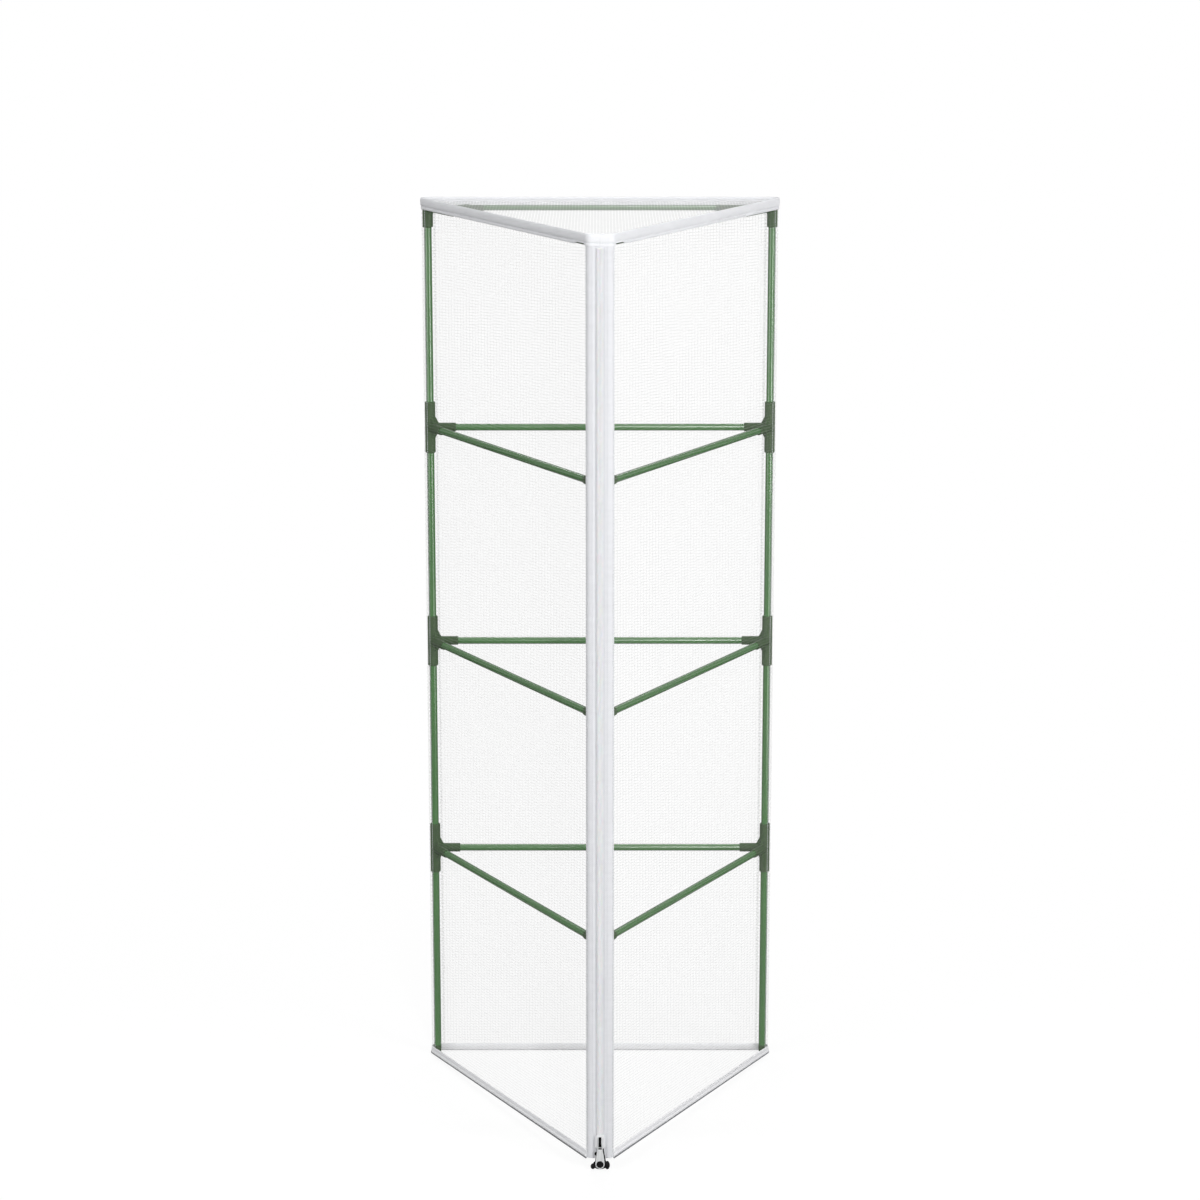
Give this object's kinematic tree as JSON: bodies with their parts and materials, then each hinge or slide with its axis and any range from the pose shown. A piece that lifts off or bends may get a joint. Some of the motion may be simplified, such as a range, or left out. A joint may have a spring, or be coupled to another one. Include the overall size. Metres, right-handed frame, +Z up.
{
  "type": "netted plant cage",
  "caption": "Triangular cage of green coated stakes, moulded sleeves and cross rods, dressed in a fine white net cover with bound edges and a zip down its front corner.",
  "frame": {"origin": "on the ground, under the middle of the object's box", "axes": "+Z up along the posts; -Y towards the front corner with the zip; +X to the right as seen from the front"},
  "size_m": [0.4792, 0.4252, 1.2115],
  "materials": {
    "green_coat": "green plastic coat, satin",
    "green_moulding": "moulded dark green plastic, satin",
    "net": "fine white net",
    "binding": "white woven tape, folded and stitched",
    "zip_tape": "white woven zip tape",
    "zip_chain": "white nylon coil",
    "slider_enamel": "white enamel on cast metal",
    "bridge_metal": "black paint, worn at the edges",
    "pull_metal": "stamped and plated, satin",
    "grip_rubber": "moulded black rubber, matt"
  },
  "bodies": {
    "cage": {"stake_left_1": "green_coat", "stake_left_2": "green_coat", "stake_left_3": "green_coat", "stake_left_4": "green_coat", "sleeve_left_1": "green_moulding", "sleeve_left_2": "green_moulding", "sleeve_left_3": "green_moulding", "top_corner_left": "green_moulding", "ground_tip_left": "green_moulding", "stake_front_1": "green_coat", "stake_front_2": "green_coat", "stake_front_3": "green_coat", "stake_front_4": "green_coat", "sleeve_front_1": "green_moulding", "sleeve_front_2": "green_moulding", "sleeve_front_3": "green_moulding", "top_corner_front": "green_moulding", "ground_tip_front": "green_moulding", "stake_right_1": "green_coat", "stake_right_2": "green_coat", "stake_right_3": "green_coat", "stake_right_4": "green_coat", "sleeve_right_1": "green_moulding", "sleeve_right_2": "green_moulding", "sleeve_right_3": "green_moulding", "top_corner_right": "green_moulding", "ground_tip_right": "green_moulding", "rod_left_1": "green_coat", "rod_left_2": "green_coat", "rod_left_3": "green_coat", "rod_left_4": "green_coat", "net_left": "net", "piping_left": "binding", "hem_left": "binding", "rod_right_1": "green_coat", "rod_right_2": "green_coat", "rod_right_3": "green_coat", "rod_right_4": "green_coat", "net_right": "net", "piping_right": "binding", "hem_right": "binding", "rod_back_1": "green_coat", "rod_back_2": "green_coat", "rod_back_3": "green_coat", "rod_back_4": "green_coat", "net_back": "net", "piping_back": "binding", "hem_back": "binding", "net_roof": "net", "corner_seam_left": "binding", "zip_tape_left": "zip_tape", "zip_chain_left": "zip_chain", "corner_seam_right": "binding", "zip_tape_right": "zip_tape", "zip_chain_right": "zip_chain"},
    "slider": {"zip_slider": "slider_enamel", "zip_bridge": "bridge_metal"},
    "pull": {"zip_pull": "pull_metal", "zip_grip": "grip_rubber"}
  },
  "joints": [
    {"name": "zip_slide", "type": "slide", "parent": "cage", "child": "slider", "axis": [0, 0, 1], "range_m": [0, 1.14]},
    {"name": "pull_swing", "type": "hinge", "parent": "slider", "child": "pull", "pos_m": [0, -0.21004, 0.034], "axis": [-1, 0, 0], "range_deg": [0, 140]}
  ]
}
